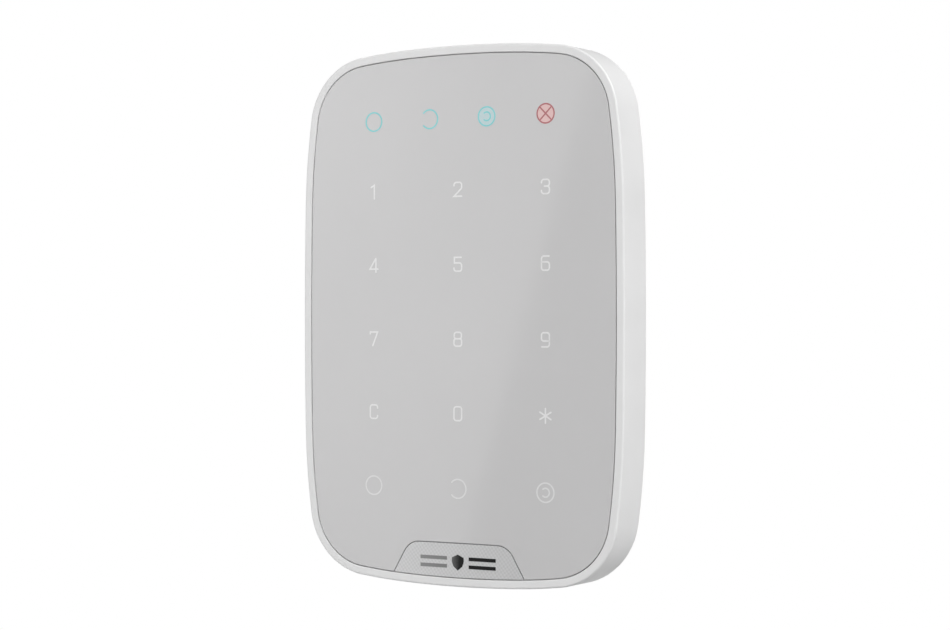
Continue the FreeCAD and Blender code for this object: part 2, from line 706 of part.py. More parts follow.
def make_chip(name, centre, half, height, leads, lead_pitch):
    """Square package with gull-wing leads along its four sides; it stands on the board's back."""
    chip = body(name, x=centre[0], z=centre[1])
    drawing = sketch(chip, name + "_package", offset=f"board_back - {height}")
    rectangle(drawing, (f"-{half}", half), (f"-{half}", half))
    pad(chip, drawing, f"{height} - 0.05")
    leg = sketch(chip, name + "_lead", offset="board_back - 0.25")
    start = f"-{lead_pitch} * {(leads - 1) / 2}"
    rectangle(leg, (f"{start} - 0.12", f"{start} + 0.12"), (f"{half} - 0.3", f"{half} + 0.9"))
    first = pad(chip, leg, "0.25")
    row = chip.newObject("PartDesign::LinearPattern", name + "_lead_row")
    row.Direction = (leg, ["H_Axis"])
    bind(row, Length=f"{lead_pitch} * {leads - 1}")
    row.Occurrences = leads
    ring = chip.newObject("PartDesign::PolarPattern", name + "_lead_sides")
    ring.Axis = (leg, ["N_Axis"])
    ring.Angle = 360
    ring.Occurrences = 4
    multi = chip.newObject("PartDesign::MultiTransform", name + "_leads")
    multi.Originals = [first]
    multi.Transformations = [row, ring]
    chip.Tip = multi
    doc.recompute()
    dot = sketch(chip, name + "_pin_one", offset=f"board_back - {height}")
    circle(dot, (f"-{half} * 0.7", f"{half} * 0.7"), "0.4")
    pocket(chip, dot, "0.1", reverse=True)
    return node(chip)


def make_radio_shield():
    """Folded tin can over the radio, with a grid of vent holes."""
    columns, rows = 5, 3
    can = body("radio_shield", x="shield_x", z="shield_z")
    drawing = sketch(can, "shield_outline", offset="board_back - shield_height")
    half_x, half_z = "shield_half_x", "shield_half_z"
    rectangle(drawing, (f"-{half_x}", half_x), (f"-{half_z}", half_z))
    pad(can, drawing, "shield_height")
    inside = sketch(can, "shield_inside", offset="board_back")
    half_x, half_z = "(shield_half_x - shield_skin)", "(shield_half_z - shield_skin)"
    rectangle(inside, (f"-{half_x}", half_x), (f"-{half_z}", half_z))
    pocket(can, inside, "shield_height - shield_skin")
    hole = sketch(can, "shield_vent", offset="board_back - shield_height")
    first_vent = (f"-vent_pitch * {(columns - 1) / 2}", f"-vent_pitch * {(rows - 1) / 2}")
    circle(hole, first_vent, "vent_radius")
    first = pocket(can, hole, "shield_skin + 0.2", reverse=True)
    across = can.newObject("PartDesign::LinearPattern", "vent_row")
    across.Direction = (hole, ["H_Axis"])
    bind(across, Length=f"vent_pitch * {columns - 1}")
    across.Occurrences = columns
    up = can.newObject("PartDesign::LinearPattern", "vent_column")
    up.Direction = (hole, ["V_Axis"])
    bind(up, Length=f"vent_pitch * {rows - 1}")
    up.Occurrences = rows
    grid = can.newObject("PartDesign::MultiTransform", "vent_grid")
    grid.Originals = [first]
    grid.Transformations = [across, up]
    can.Tip = grid
    doc.recompute()
    return node(can)


def make_antennas():
    """Two stamped strips on the board, at right angles: a rail on three feet."""
    for name, origin, along_x in (
        ("antenna_main", ("-12", "66"), True),
        ("antenna_spare", ("43.5", "2"), False),
    ):
        pieces = []
        rail = ("antenna_back", "antenna_back + 1.6")
        feet = ("antenna_back + 1.6", "board_back")
        for n, (start, end, level) in enumerate(
            (("-17", "17", rail), ("-17", "-15", feet), ("-9", "-8", feet), ("15", "17", feet)),
            start=1,
        ):
            middle, line = origin if along_x else origin[::-1]
            long = (f"{middle} + {start}", f"{middle} + {end}")
            thin = (f"{line} - antenna_thickness / 2", f"{line} + antenna_thickness / 2")
            x, z = (long, thin) if along_x else (thin, long)
            pieces.append(block(f"{name}_piece_{n}", x, level, z))
        node(fuse(name, *pieces))


def make_board_components():
    """Sounder, capacitors, crystal and service header on the board's back."""
    sounder = body("buzzer", x="buzzer_x", z="buzzer_z")
    drawing = sketch(sounder, "buzzer_outline", offset="buzzer_back")
    circle(drawing, ("0", "0"), "buzzer_radius")
    pad(sounder, drawing, "board_back - buzzer_back")
    mouth = sketch(sounder, "buzzer_mouth", offset="buzzer_back")
    circle(mouth, ("0", "0"), "buzzer_mouth_radius")
    pocket(sounder, mouth, "buzzer_mouth_depth", reverse=True)
    node(sounder)

    for number, x in enumerate(("30", "38"), start=1):
        can = body(f"reservoir_capacitor_{number}", x=x, y="-board_back", z="capacitor_z")
        turned(
            can,
            f"capacitor_{number}_profile",
            "XY_Plane",
            ("0", "0"),
            ("capacitor_radius", "0"),
            ("capacitor_radius", "capacitor_length - 0.4"),
            ("capacitor_radius - 0.4", "capacitor_length"),
            ("0", "capacitor_length"),
        )
        node(can)

    crystal = body("crystal", x="-6", z="8")
    drawing = sketch(crystal, "crystal_outline", offset="board_back - crystal_height")
    half_x, half_z = "crystal_half_x", "crystal_half_z"
    rectangle(drawing, (f"-{half_x}", half_x), (f"-{half_z}", half_z))
    pad(crystal, drawing, "crystal_height")
    corner = lambda p: abs(p.x) > size(half_x) - 0.01 and abs(p.z) > size(half_z) - 0.01
    rounded(crystal, "crystal_corners", "0.3", corner)
    node(crystal)

    columns, rows = 5, 2
    half = (f"header_pitch * {columns} / 2 + 1", f"header_pitch * {rows} / 2 + 0.5")
    standoff = ("board_back - header_base_height", "board_back")
    base = centred_block("header_base", ("header_x", "header_z"), half, standoff)
    pins = []
    for column in range(columns):
        for row in range(rows):
            x = f"header_x + header_pitch * {column - (columns - 1) / 2}"
            z = f"header_z + header_pitch * {row - (rows - 1) / 2}"
            half = ("header_pin_half", "header_pin_half")
            standoff = ("board_back - header_pin_height", "board_back")
            pins.append(centred_block(f"header_pin_{len(pins) + 1}", (x, z), half, standoff))
    node(fuse("service_header", base, *pins))


# ---------------------------------------------------------------- batteries


def cell_x(number):
    return f"({number - 2.5} * cell_pitch)"


def cell_is_up(number):
    """Odd cells have their nub at the top, even ones at the bottom."""
    return number % 2 == 1


def make_batteries():
    for number in (1, 2, 3, 4):
        sign = "" if cell_is_up(number) else "-"
        centre = f"bay_centre + {sign}(spring_gap - nub_gap) / 2"
        cell = body(f"battery_{number}", cell_x(number), "-cell_axis", centre)
        end = f"{sign}cell_length / 2"
        foot = f"-({end})"
        inward = "-" if sign else "+"
        outward = "+" if sign else "-"
        turned(
            cell,
            f"battery_{number}_profile",
            "XZ_Plane",
            ("0", foot),
            ("cell_radius - 0.5", foot),
            ("cell_radius", f"{foot} {inward} 0.5"),
            ("cell_radius", f"{end} {outward} 1.6"),
            ("cell_radius - 0.6", f"{end} {outward} 1.1"),
            ("1.9", f"{end} {outward} 1.1"),
            ("1.9", end),
            ("0", end),
        )
        node(cell)


def make_cradle():
    """Battery cradle: a walled frame with saddles between the cells and four pegs in the board."""
    x = (f"-({BAY_HALF_X} + bay_wall)", f"{BAY_HALF_X} + bay_wall")
    z = (f"bay_centre - ({BAY_HALF_Z} + bay_wall)", f"bay_centre + {BAY_HALF_Z} + bay_wall")
    frame = block("cradle_blank", x, ("cover_front + 0.1", "board_back"), z)
    inner_x = (f"-{BAY_HALF_X}", BAY_HALF_X)
    inner_z = (f"bay_centre - {BAY_HALF_Z}", f"bay_centre + {BAY_HALF_Z}")
    removed = [block("cradle_opening", inner_x, ("cover_front", "cell_axis + 1.2"), inner_z)]
    for number in (1, 2, 3, 4):
        tube = ("cradle_saddle_" + str(number), cell_x(number), "cell_axis", "cell_radius + 0.4")
        removed.append(upright(*tube, inner_z))
    added = []
    for number, (peg_x, peg_z) in enumerate(PEG_POINTS, start=1):
        ear = centred_block(
            f"cradle_ear_{number}", (peg_x, peg_z), ("ear_half", "ear_half"), ("ear_back", "board_back")
        )
        length = ("board_back - 0.5", "board_front - 0.1")
        peg = rod(f"cradle_peg_{number}", (peg_x, peg_z), "peg_radius", length)
        added += [ear, peg]
    whole = fuse("cradle_with_ears", frame, *added)
    node(cut("battery_cradle", whole, *removed))


def contact(name, cells, at_top):
    """Plate against an end wall of the bay, under one cell or across two."""
    wall = f"bay_centre {'+' if at_top else '-'} {BAY_HALF_Z}"
    inner = f"{wall} {'-' if at_top else '+'} contact_thickness"
    z = (inner, wall) if at_top else (wall, inner)
    x = (f"{cell_x(cells[0])} - contact_width / 2", f"{cell_x(cells[-1])} + contact_width / 2")
    standoff = ("cell_axis - contact_back_reach", "cell_axis + contact_front_reach")
    return node(block(name, x, standoff, z))


def make_contacts():
    """Contacts that join the four cells in a row, and the springs at their flat ends."""
    contact("contact_top_left", (1, 2), True)
    contact("contact_top_right", (3, 4), True)
    contact("contact_bottom_middle", (2, 3), False)
    contact("contact_negative", (1,), False)
    contact("contact_positive", (4,), False)
    for number in (1, 2, 3, 4):
        up = cell_is_up(number)
        wall = f"bay_centre {'-' if up else '+'} {BAY_HALF_Z}"
        inward = "+" if up else "-"
        start = f"{wall} {inward} (contact_thickness + spring_wire / 2)"
        length = "spring_gap - contact_thickness - spring_wire"
        centre = (cell_x(number), "-cell_axis", start)
        spring = coil(
            f"battery_spring_{number}",
            centre,
            "spring_wire",
            "spring_coil_radius",
            "spring_turns",
            length,
            (0, 0, 1 if up else -1),
        )
        node(spring)


# ---------------------------------------------------------------- rear cover


def make_rear_cover():
    """Cover with the battery bulge, screw wells, hook slots, and openings for what passes through."""
    plate = slab("cover_plate", size("cover_inset"), "cover_back", "cover_front")
    outer = f"({BAY_HALF_X} + bay_wall)"
    long = f"({BAY_HALF_Z} + 0.15 + bay_wall)"
    bulge = centred_block("cover_bulge", ("0", "bay_centre"), (outer, long), ("bulge_back", "cover_front"))
    wells = [
        rod(f"cover_well_{n}", point, "screw_well_radius", ("cover_back", "screw_well_front"))
        for n, point in enumerate(boss_points, start=1)
    ]
    solid = fuse("cover_solid", plate, bulge, *wells)
    through = ("cover_back - 1", "cover_front + 1")
    removed = [
        centred_block(
            "cover_bay",
            ("0", "bay_centre"),
            (BAY_HALF_X, f"{BAY_HALF_Z} + 0.15"),
            ("bulge_back + bulge_floor", "cover_front + 1"),
        )
    ]
    for n, point in enumerate(boss_points, start=1):
        head = ("cover_back - 1", "screw_head_back + screw_head_height + 0.02")
        removed.append(rod(f"cover_head_hole_{n}", point, "screw_head_radius + 0.25", head))
        shank = ("cover_back - 1", "screw_well_front + 1")
        removed.append(rod(f"cover_shank_hole_{n}", point, "screw_radius + 0.2", shank))
    for n, (side, level) in enumerate(HOOKS, start=1):
        x = (
            f"{side} * hook_x - hook_width / 2 - slide_clearance",
            f"{side} * hook_x + hook_width / 2 + slide_clearance",
        )
        z = (f"{level} - lift_travel - slide_clearance", f"{level} + hook_stem + 0.15")
        removed.append(block(f"cover_hook_slot_{n}", x, through, z))
    lug_x = ("-lug_half_width - 0.5", "lug_half_width + 0.5")
    lug_z = ("lug_bottom - lift_travel - slide_clearance", "lug_top + slide_clearance")
    removed.append(block("cover_lug_slot", lug_x, through, lug_z))
    hole = ("plunger_x", "tab_z")
    removed.append(rod("cover_plunger_hole", hole, "plunger_tip_radius + 0.3", through))
    hole = ("button_x", "button_z")
    removed.append(rod("cover_button_hole", hole, "button_radius + 0.3", through))
    for n, (dx, dz) in enumerate(((0, 0), (1, 0), (-1, 0), (0, 1), (0, -1)), start=1):
        hole = (f"buzzer_x + {dx} * sound_hole_pitch", f"buzzer_z + {dz} * sound_hole_pitch")
        removed.append(rod(f"sound_hole_{n}", hole, "sound_hole_radius", through))
    removed.append(label_block("cover_label_recess", 0.15))
    node(cut("rear_cover", solid, *removed))
    node(label_block("rating_label", 0.0))


def label_block(name, margin):
    """Blank rating label on the cover's back, or the recess it lies in."""
    half = (f"label_half_x + {margin}", f"label_half_z + {margin}")
    standoff = ("cover_back", "cover_back + label_depth")
    return centred_block(name, ("label_x", "label_z"), half, standoff)


def screw(name, radius, head_radius, head_height, length):
    """Pan-head screw along the body's own Z, head at the bottom, with a cross recess."""
    thing = body(name)
    edge = "0.3"
    turned(
        thing,
        name + "_profile",
        "XZ_Plane",
        ("0", "0"),
        (f"{head_radius} - {edge}", "0"),
        (head_radius, edge),
        (head_radius, head_height),
        (radius, head_height),
        (radius, f"{head_height} + {length} - {radius} * 0.6"),
        (f"{radius} * 0.4", f"{head_height} + {length}"),
        ("0", f"{head_height} + {length}"),
    )
    cross = sketch(thing, name + "_drive", "XY_Plane")
    long, short = f"{head_radius} * 0.62", f"{head_radius} * 0.13"
    polygon(
        cross,
        (long, f"-{short}"),
        (long, short),
        (short, short),
        (short, long),
        (f"-{short}", long),
        (f"-{short}", short),
        (f"-{long}", short),
        (f"-{long}", f"-{short}"),
        (f"-{short}", f"-{short}"),
        (f"-{short}", f"-{long}"),
        (short, f"-{long}"),
        (short, f"-{short}"),
    )
    pocket(thing, cross, f"{head_height} * 0.6", reverse=True)
    return thing


def make_cover_screws():
    """Four equal screws through the cover's wells into the housing's bosses."""
    model = screw(
        "cover_screw", "screw_radius", "screw_head_radius", "screw_head_height", "screw_length"
    )
    doc.recompute()
    copies = []
    for n, (x, z) in enumerate(boss_points, start=1):
        copy = doc.addObject("Part::Compound", f"cover_screw_{n}")
        copy.Links = [model]
        copy.Placement = Placement(Vector(), Rotation(Vector(1, 0, 0), 90))
        place(copy, x, "-screw_head_back", z)
        copies.append(copy)
    node(group("rear_cover_screws", *copies))


# ---------------------------------------------------------------- tamper contact and power button


def switch_body(name, x, z):
    """Board-mounted switch with a well that its plunger enters."""
    thing = body(name, x=x, z=z)
    drawing = sketch(thing, name + "_outline", offset="switch_back")
    rectangle(drawing, ("-switch_half", "switch_half"), ("-switch_half", "switch_half"))
    pad(thing, drawing, "board_back - switch_back")
    corner = lambda p: abs(p.x) > size("switch_half") - 0.01 and abs(p.z) > size("switch_half") - 0.01
    rounded(thing, name + "_corners", "0.5", corner)
    well = sketch(thing, name + "_well", offset="switch_back")
    circle(well, ("0", "0"), "switch_bore")
    pocket(thing, well, "switch_bore_floor - switch_back", reverse=True)
    return node(thing)


def make_tamper():
    """Plunger pressed in by the bracket's break-off section, its return spring and its switch."""
    switch_body("tamper_switch", "plunger_x", "tab_z")
    plunger = body("tamper_plunger", x="plunger_x", z="tab_z")
    turned(
        plunger,
        "plunger_profile",
        "XY_Plane",
        ("0", "-plunger_tip"),
        ("plunger_tip_radius - 0.4", "-plunger_tip"),
        ("plunger_tip_radius", "-plunger_tip - 0.4"),
        ("plunger_tip_radius", "-plunger_flange_back"),
        ("plunger_flange_radius", "-plunger_flange_back"),
        ("plunger_flange_radius", "-plunger_flange_front"),
        ("plunger_stem_radius", "-plunger_flange_front"),
        ("plunger_stem_radius", "-plunger_end"),
        ("0", "-plunger_end"),
    )
    node(plunger)
    start = "-(plunger_flange_front + tamper_wire / 2)"
    length = "switch_back - plunger_flange_front - tamper_wire"
    centre = ("plunger_x", start, "tab_z")
    wire = ("tamper_wire", "tamper_coil_radius")
    node(coil("tamper_spring", centre, *wire, "tamper_turns", length, (0, -1, 0)))


def make_power_button():
    """Round on/off button in the cover, held by its flange, and the switch under it."""
    switch_body("power_switch", "button_x", "button_z")
    button = body("power_button", x="button_x", z="button_z")
    turned(
        button,
        "button_profile",
        "XY_Plane",
        ("0", "-cover_back - 0.3"),
        ("button_radius - 1.2", "-cover_back - 0.15"),
        ("button_radius - 0.4", "-cover_back"),
        ("button_radius", "-cover_back - 0.3"),
        ("button_radius", "-button_flange_back"),
        ("button_flange_radius", "-button_flange_back"),
        ("button_flange_radius", "-button_flange_front"),
        ("plunger_stem_radius", "-button_flange_front"),
        ("plunger_stem_radius", "-button_end"),
        ("0", "-button_end"),
    )
    node(button)


# ---------------------------------------------------------------- wall bracket and locking screw


def wall_screw_hole(name, centre):
    """Countersunk hole through the bracket."""
    straight = rod(name + "_shank", centre, "wall_hole_radius", ("-1", "bracket_front"))
    reach = ("wall_hole_depth", "bracket_front")
    sunk = rod(name + "_sink", centre, "wall_hole_radius", reach, "countersink_radius")
    return fuse(name, straight, sunk)


def make_wall_bracket():
    """Plate that screws to the wall, with hooks, a lug for the locking screw and a break-off section."""
    # the plate has to clear the housing's wall both at rest and with the keypad slid up
    inset = size("bracket_inset")
    plate = common(
        "bracket_plate",
        slab("bracket_at_rest", inset, "wall", "bracket_front"),
        slab("bracket_lifted", inset, "wall", "bracket_front", size("lift_travel")),
    )
    added = []
    for n, (side, level) in enumerate(HOOKS, start=1):
        x = (f"{side} * hook_x - hook_width / 2", f"{side} * hook_x + hook_width / 2")
        stem = (level, f"{level} + hook_stem")
        lip = (level, f"{level} + hook_stem + hook_lip")
        added.append(block(f"hook_stem_{n}", x, ("0", "hook_front"), stem))
        added.append(block(f"hook_lip_{n}", x, ("hook_lip_back", "hook_front"), lip))
    lug_x = ("-lug_half_width", "lug_half_width")
    added.append(block("lock_lug", lug_x, ("0", "lug_front"), ("lug_bottom", "lug_top")))
    solid = fuse("bracket_solid", plate, *added)

    window_x = f"({BAY_HALF_X} + bay_wall + 0.6)"
    window_z = (
        f"bay_centre - ({BAY_HALF_Z} + bay_wall + 0.65)",
        f"bay_centre + {BAY_HALF_Z} + bay_wall + lift_travel + 0.75",
    )
    deep = ("-1", "bracket_front + 0.1")
    removed = [block("bracket_window", (f"-{window_x}", window_x), deep, window_z)]
    for n, centre in enumerate(WALL_HOLES, start=1):
        removed.append(wall_screw_hole(f"wall_hole_{n}", centre))
    removed.append(wall_screw_hole("tab_hole", ("tab_hole_x", "tab_z")))
    removed.append(make_tab_slits())
    lug_z = ("lug_bottom", "lug_top")
    removed.append(upright("insert_seat", "0", "lock_axis", "insert_radius", lug_z))
    node(cut("wall_bracket", solid, *removed))

    tube = upright("insert_blank", "0", "lock_axis", "insert_radius", lug_z)
    bore = upright("insert_thread", "0", "lock_axis", "insert_bore", lug_z)
    node(cut("lock_insert", tube, bore))


def make_tab_slits():
    """Slits round the break-off section, interrupted by bridges."""
    deep = ("-1", "bracket_front + 1")
    centre = ("0", "tab_z")
    half = ("tab_half_width + tab_slit", "tab_half_height + tab_slit")
    ring = centred_block("tab_ring", centre, half, deep)
    keep = [centred_block("tab_inside", centre, ("tab_half_width", "tab_half_height"), deep)]
    for x in ("-8", "8"):
        bridge = ("tab_bridge / 2", "tab_half_height + 3")
        keep.append(centred_block(f"tab_bridge_{len(keep)}", (x, "tab_z"), bridge, deep))
    bridge = ("tab_half_width + 3", "tab_bridge / 2")
    keep.append(centred_block(f"tab_bridge_{len(keep)}", centre, bridge, deep))
    return cut("tab_slits", ring, *keep)


def make_lock_screw():
    """M3 screw that enters from the underside and locks the keypad on its bracket."""
    thing = screw("lock_screw", "lock_radius", "lock_head_radius", "lock_head_height", "lock_length")
    place(thing, "0", "-lock_axis", "-overall_height / 2 + lock_recess - 0.05 - lock_head_height")
    return node(thing)


make_front_housing()
make_panel()
make_badge_mark()
make_main_board()
make_lights()
make_chip("microcontroller", ("4", "14"), "5", "1.4", 12, "0.7")
make_chip("touch_controller", ("0", "54"), "3.5", "1.1", 8, "0.7")
make_radio_shield()
make_antennas()
make_board_components()
make_batteries()
make_cradle()
make_contacts()
make_rear_cover()
make_cover_screws()
make_tamper()
make_power_button()
make_wall_bracket()
make_lock_screw()

doc.recompute()
for thing in doc.Objects:
    if "Invalid" in thing.State or "Error" in thing.State:
        raise RuntimeError(f"{thing.Name} failed: {thing.State}")
for thing in nodes:
    if thing.Shape.isNull() or not thing.Shape.isValid() or thing.Shape.Volume <= 0:
        raise RuntimeError(f"{thing.Name} has no valid shape")
for thing in nodes:
    thing.Shape.exportStep(f"parts/{thing.Label}.step")
print(len(nodes), "pieces written")
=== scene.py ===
"""Looks of the alarm keypad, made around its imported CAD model. Metres, Z up, the keypad faces -Y."""
import json
import math

import bmesh
import bpy
from mathutils import Matrix, Vector


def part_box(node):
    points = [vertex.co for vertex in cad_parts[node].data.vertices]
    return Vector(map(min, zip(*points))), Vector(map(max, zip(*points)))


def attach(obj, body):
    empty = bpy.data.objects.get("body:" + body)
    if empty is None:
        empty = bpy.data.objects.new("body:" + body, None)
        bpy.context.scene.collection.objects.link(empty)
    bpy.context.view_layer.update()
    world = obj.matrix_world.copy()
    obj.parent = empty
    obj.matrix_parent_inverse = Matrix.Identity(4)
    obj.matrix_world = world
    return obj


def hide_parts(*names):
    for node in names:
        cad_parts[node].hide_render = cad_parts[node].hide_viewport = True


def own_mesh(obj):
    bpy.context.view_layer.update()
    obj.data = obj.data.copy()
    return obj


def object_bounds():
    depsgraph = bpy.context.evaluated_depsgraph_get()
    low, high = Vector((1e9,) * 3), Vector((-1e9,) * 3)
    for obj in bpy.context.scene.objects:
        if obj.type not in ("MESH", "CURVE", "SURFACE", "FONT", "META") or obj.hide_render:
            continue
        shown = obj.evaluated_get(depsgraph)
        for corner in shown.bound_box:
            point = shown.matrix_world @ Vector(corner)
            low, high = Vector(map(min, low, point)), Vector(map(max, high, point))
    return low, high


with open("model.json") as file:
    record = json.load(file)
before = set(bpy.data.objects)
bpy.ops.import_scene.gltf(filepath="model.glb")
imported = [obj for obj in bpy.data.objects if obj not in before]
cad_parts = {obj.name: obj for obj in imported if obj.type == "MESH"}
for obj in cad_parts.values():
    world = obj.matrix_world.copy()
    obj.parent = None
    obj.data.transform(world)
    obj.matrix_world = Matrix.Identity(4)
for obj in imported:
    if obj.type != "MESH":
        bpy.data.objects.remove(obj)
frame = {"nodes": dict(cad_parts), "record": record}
cad_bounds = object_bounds()

MM = 0.001


# ---------------------------------------------------------------- node trees

class Nodes:
    """The emptied node tree of a material, the world or a lamp, and short names for common nodes."""

    def __init__(self, owner):
        owner.use_nodes = True
        self.tree = owner.node_tree
        self.tree.nodes.clear()

    def add(self, kind, **values):
        node = self.tree.nodes.new(kind)
        for name, value in values.items():
            setattr(node, name, value)
        return node

    def link(self, source, target):
        self.tree.links.new(source, target)

    def ramp(self, factor, *stops, interpolation="LINEAR"):
        """A colour ramp. Each stop is a position and a grey value or a colour."""
        node = self.add("ShaderNodeValToRGB")
        node.color_ramp.interpolation = interpolation
        elements = node.color_ramp.elements
        while len(elements) < len(stops):
            elements.new(0.5)
        for element, (position, colour) in zip(elements, stops):
            element.position = position
            element.color = colour_of(colour)
        self.link(factor, node.inputs["Fac"])
        return node.outputs["Color"]

    def spread(self, factor, low, high, start=0.3, stop=0.7):
        """A factor between start and stop becomes a number between low and high."""
        node = self.add("ShaderNodeMapRange")
        self.link(factor, node.inputs["Value"])
        for socket, value in zip(("From Min", "From Max", "To Min", "To Max"), (start, stop, low, high)):
            node.inputs[socket].default_value = value
        return node.outputs["Result"]

    def part(self, vector, axis):
        """One coordinate of a vector output."""
        parts = self.add("ShaderNodeSeparateXYZ")
        self.link(vector, parts.inputs["Vector"])
        return parts.outputs[axis]

    def computed(self, operation, *terms):
        """A Math node's result. Each term is a number or an output."""
        node = self.add("ShaderNodeMath", operation=operation)
        for socket, term in zip(node.inputs, terms):
            if isinstance(term, bpy.types.NodeSocket):
                self.link(term, socket)
            else:
                socket.default_value = term
        return node.outputs["Value"]

    def sum(self, *terms):
        """The terms added up: each is an output and its weight."""
        weighted = [self.computed("MULTIPLY", output, weight) for output, weight in terms]
        total = weighted[0]
        for value in weighted[1:]:
            total = self.computed("ADD", total, value)
        return total

    def mix(self, factor, first, second):
        """Mixes two colours, given as values or outputs."""
        node = self.add("ShaderNodeMix", data_type="RGBA")
        self.link(factor, node.inputs["Factor"])
        for name, colour in (("A", first), ("B", second)):
            socket = next(s for s in node.inputs if s.name == name and s.type == "RGBA")
            if isinstance(colour, bpy.types.NodeSocket):
                self.link(colour, socket)
            else:
                socket.default_value = colour_of(colour)
        return next(s for s in node.outputs if s.type == "RGBA")


class Shader(Nodes):
    """A material with one Principled shader, and the textures that feed it."""

    def __init__(self, name, roughness=0.5, metallic=0.0, specular=0.5):
        self.material = bpy.data.materials.new(name)
        super().__init__(self.material)
        self.surface = self.add("ShaderNodeBsdfPrincipled")
        output = self.add("ShaderNodeOutputMaterial")
        self.link(self.surface.outputs["BSDF"], output.inputs["Surface"])
        self.set("Roughness", roughness)
        self.set("Metallic", metallic)
        self.set("Specular IOR Level", specular)
        self.place = self.add("ShaderNodeTexCoord").outputs["Object"]

    def set(self, socket, value):
        """Sets a socket of the Principled shader to a value, or links it to another node's output."""
        if isinstance(value, bpy.types.NodeSocket):
            self.link(value, self.surface.inputs[socket])
        else:
            self.surface.inputs[socket].default_value = value

    def mapped(self, scale=(1, 1, 1), turn=(0, 0, 0), shift=(0, 0, 0)):
        """Object coordinates, scaled per axis, turned and shifted."""
        mapping = self.add("ShaderNodeMapping")
        self.link(self.place, mapping.inputs["Vector"])
        mapping.inputs["Scale"].default_value = scale
        mapping.inputs["Rotation"].default_value = turn
        mapping.inputs["Location"].default_value = shift
        return mapping.outputs["Vector"]

    def noise(self, size, detail=2.0, place=None, roughness=0.5):
        """Soft noise whose features are about size metres across."""
        node = self.add("ShaderNodeTexNoise")
        self.link(place or self.place, node.inputs["Vector"])
        node.inputs["Scale"].default_value = 1 / size
        node.inputs["Detail"].default_value = detail
        node.inputs["Roughness"].default_value = roughness
        return node.outputs["Fac"]

    def cells(self, size):
        """The distance to the middle of the nearest cell, in cells about size metres across."""
        node = self.add("ShaderNodeTexVoronoi")
        self.link(self.place, node.inputs["Vector"])
        node.inputs["Scale"].default_value = 1 / size
        return node.outputs["Distance"]

    def bands(self, size, place, distortion=0.0):
        """Stripes that follow one another along X, one every size metres."""
        node = self.add("ShaderNodeTexWave", wave_type="BANDS", bands_direction="X")
        self.link(place, node.inputs["Vector"])
        node.inputs["Scale"].default_value = math.pi / (10 * size)
        node.inputs["Distortion"].default_value = distortion
        return node.outputs["Fac"]

    def along(self, axis, start, stop):
        """0 to 1 as the object's own coordinate on that axis goes from start to stop."""
        return self.spread(self.part(self.place, axis), 0, 1, start, stop)

    def mottled(self, factor, colour, swing):
        """The colour, which gets darker and paler by the share swing as a noise's factor changes."""
        return self.ramp(factor, (0.3, tinted(colour, 1 - swing)), (0.7, tinted(colour, 1 + swing)))

    def relief(self, height, depth):
        """Bump from a height between 0 and 1 that stands for depth metres."""
        node = self.add("ShaderNodeBump")
        self.link(height, node.inputs["Height"])
        node.inputs["Strength"].default_value = 1.0
        node.inputs["Distance"].default_value = depth
        self.set("Normal", node.outputs["Normal"])


def colour_of(value):
    """A grey value or an RGB triple as RGBA."""
    if isinstance(value, (int, float)):
        return (value, value, value, 1)
    return (*value[:3], 1)


def tinted(colour, factor):
    """A grey value or an RGB triple times a factor, as an RGB triple."""
    return tuple(min(1.0, c * factor) for c in colour_of(colour)[:3])


# ---------------------------------------------------------------- finishes

def moulded(name, colour, grain=0.25 * MM, depth=0.006 * MM, roughness=0.45, patchy=0.02):
    """Injection-moulded plastic with a spark-eroded grain and faint flow patches."""
    s = Shader(name)
    patches = s.noise(22 * MM, detail=3)
    fine = s.noise(grain)
    s.set("Base Color", s.mottled(patches, colour, patchy))
    s.set("Roughness", s.spread(s.sum((patches, 0.5), (fine, 0.5)), roughness - 0.05, roughness + 0.05))
    s.relief(fine, depth)
    return s.material


def polished_panel(name, colour):
    """The touch panel: a clear gloss coat over an even grey print."""
    s = Shader(name, specular=0.12)
    s.set("Coat Weight", 0.60)
    s.set("Coat Roughness", 0.05)
    s.set("Base Color", s.mottled(s.noise(60 * MM), colour, 0.015))
    s.set("Roughness", s.spread(s.noise(25 * MM), 0.22, 0.26))
    s.relief(s.noise(7 * MM, detail=1), 0.0015 * MM)
    return s.material


def hatched_badge(name, colour, left, right):
    """The badge: a matt plate with a fine crossed hatch, and a painted sheen that darkens its colour to the
    right.
    """
    s = Shader(name)
    slants = (s.mapped(turn=(0, math.radians(angle), 0)) for angle in (38, -52))
    rising, falling = (s.bands(0.85 * MM, place, distortion=1.5) for place in slants)
    grain = s.noise(0.5 * MM, detail=3)
    hatch = s.sum((rising, 0.35), (falling, 0.25), (grain, 0.4))
    # painted sheen: the colour gets darker from the plate's left end to its right end
    tone = s.sum((hatch, 0.6), (s.along("X", right, left), 0.4))
    s.set("Base Color", s.ramp(tone, (0.1, tinted(colour, 0.78)), (0.9, tinted(colour, 1.16))))
    s.set("Roughness", s.spread(grain, 0.42, 0.55))
    s.relief(hatch, 0.008 * MM)
    return s.material


def fading_gloss(name, dark, pale, left, right):
    """Polished print that goes from a pale grey on the left to black on the right."""
    s = Shader(name, specular=0.15)
    mottle = s.noise(0.6 * MM)
    tone = s.sum((s.along("X", left, right), 0.96), (mottle, 0.04))
    stops = (0.0, pale), (0.35, tinted(pale, 0.8)), (0.52, dark), (1.0, tinted(dark, 0.8))
    s.set("Base Color", s.ramp(tone, *stops))
    s.set("Roughness", s.spread(mottle, 0.16, 0.24))
    s.relief(mottle, 0.001 * MM)
    return s.material


def printed(name, colour):
    """Ink or a lit legend on the panel: even, with a slightly uneven density."""
    s = Shader(name)
    density = s.noise(0.5 * MM)
    s.set("Base Color", s.mottled(density, colour, 0.03))
    s.set("Roughness", s.spread(density, 0.27, 0.33))
    return s.material


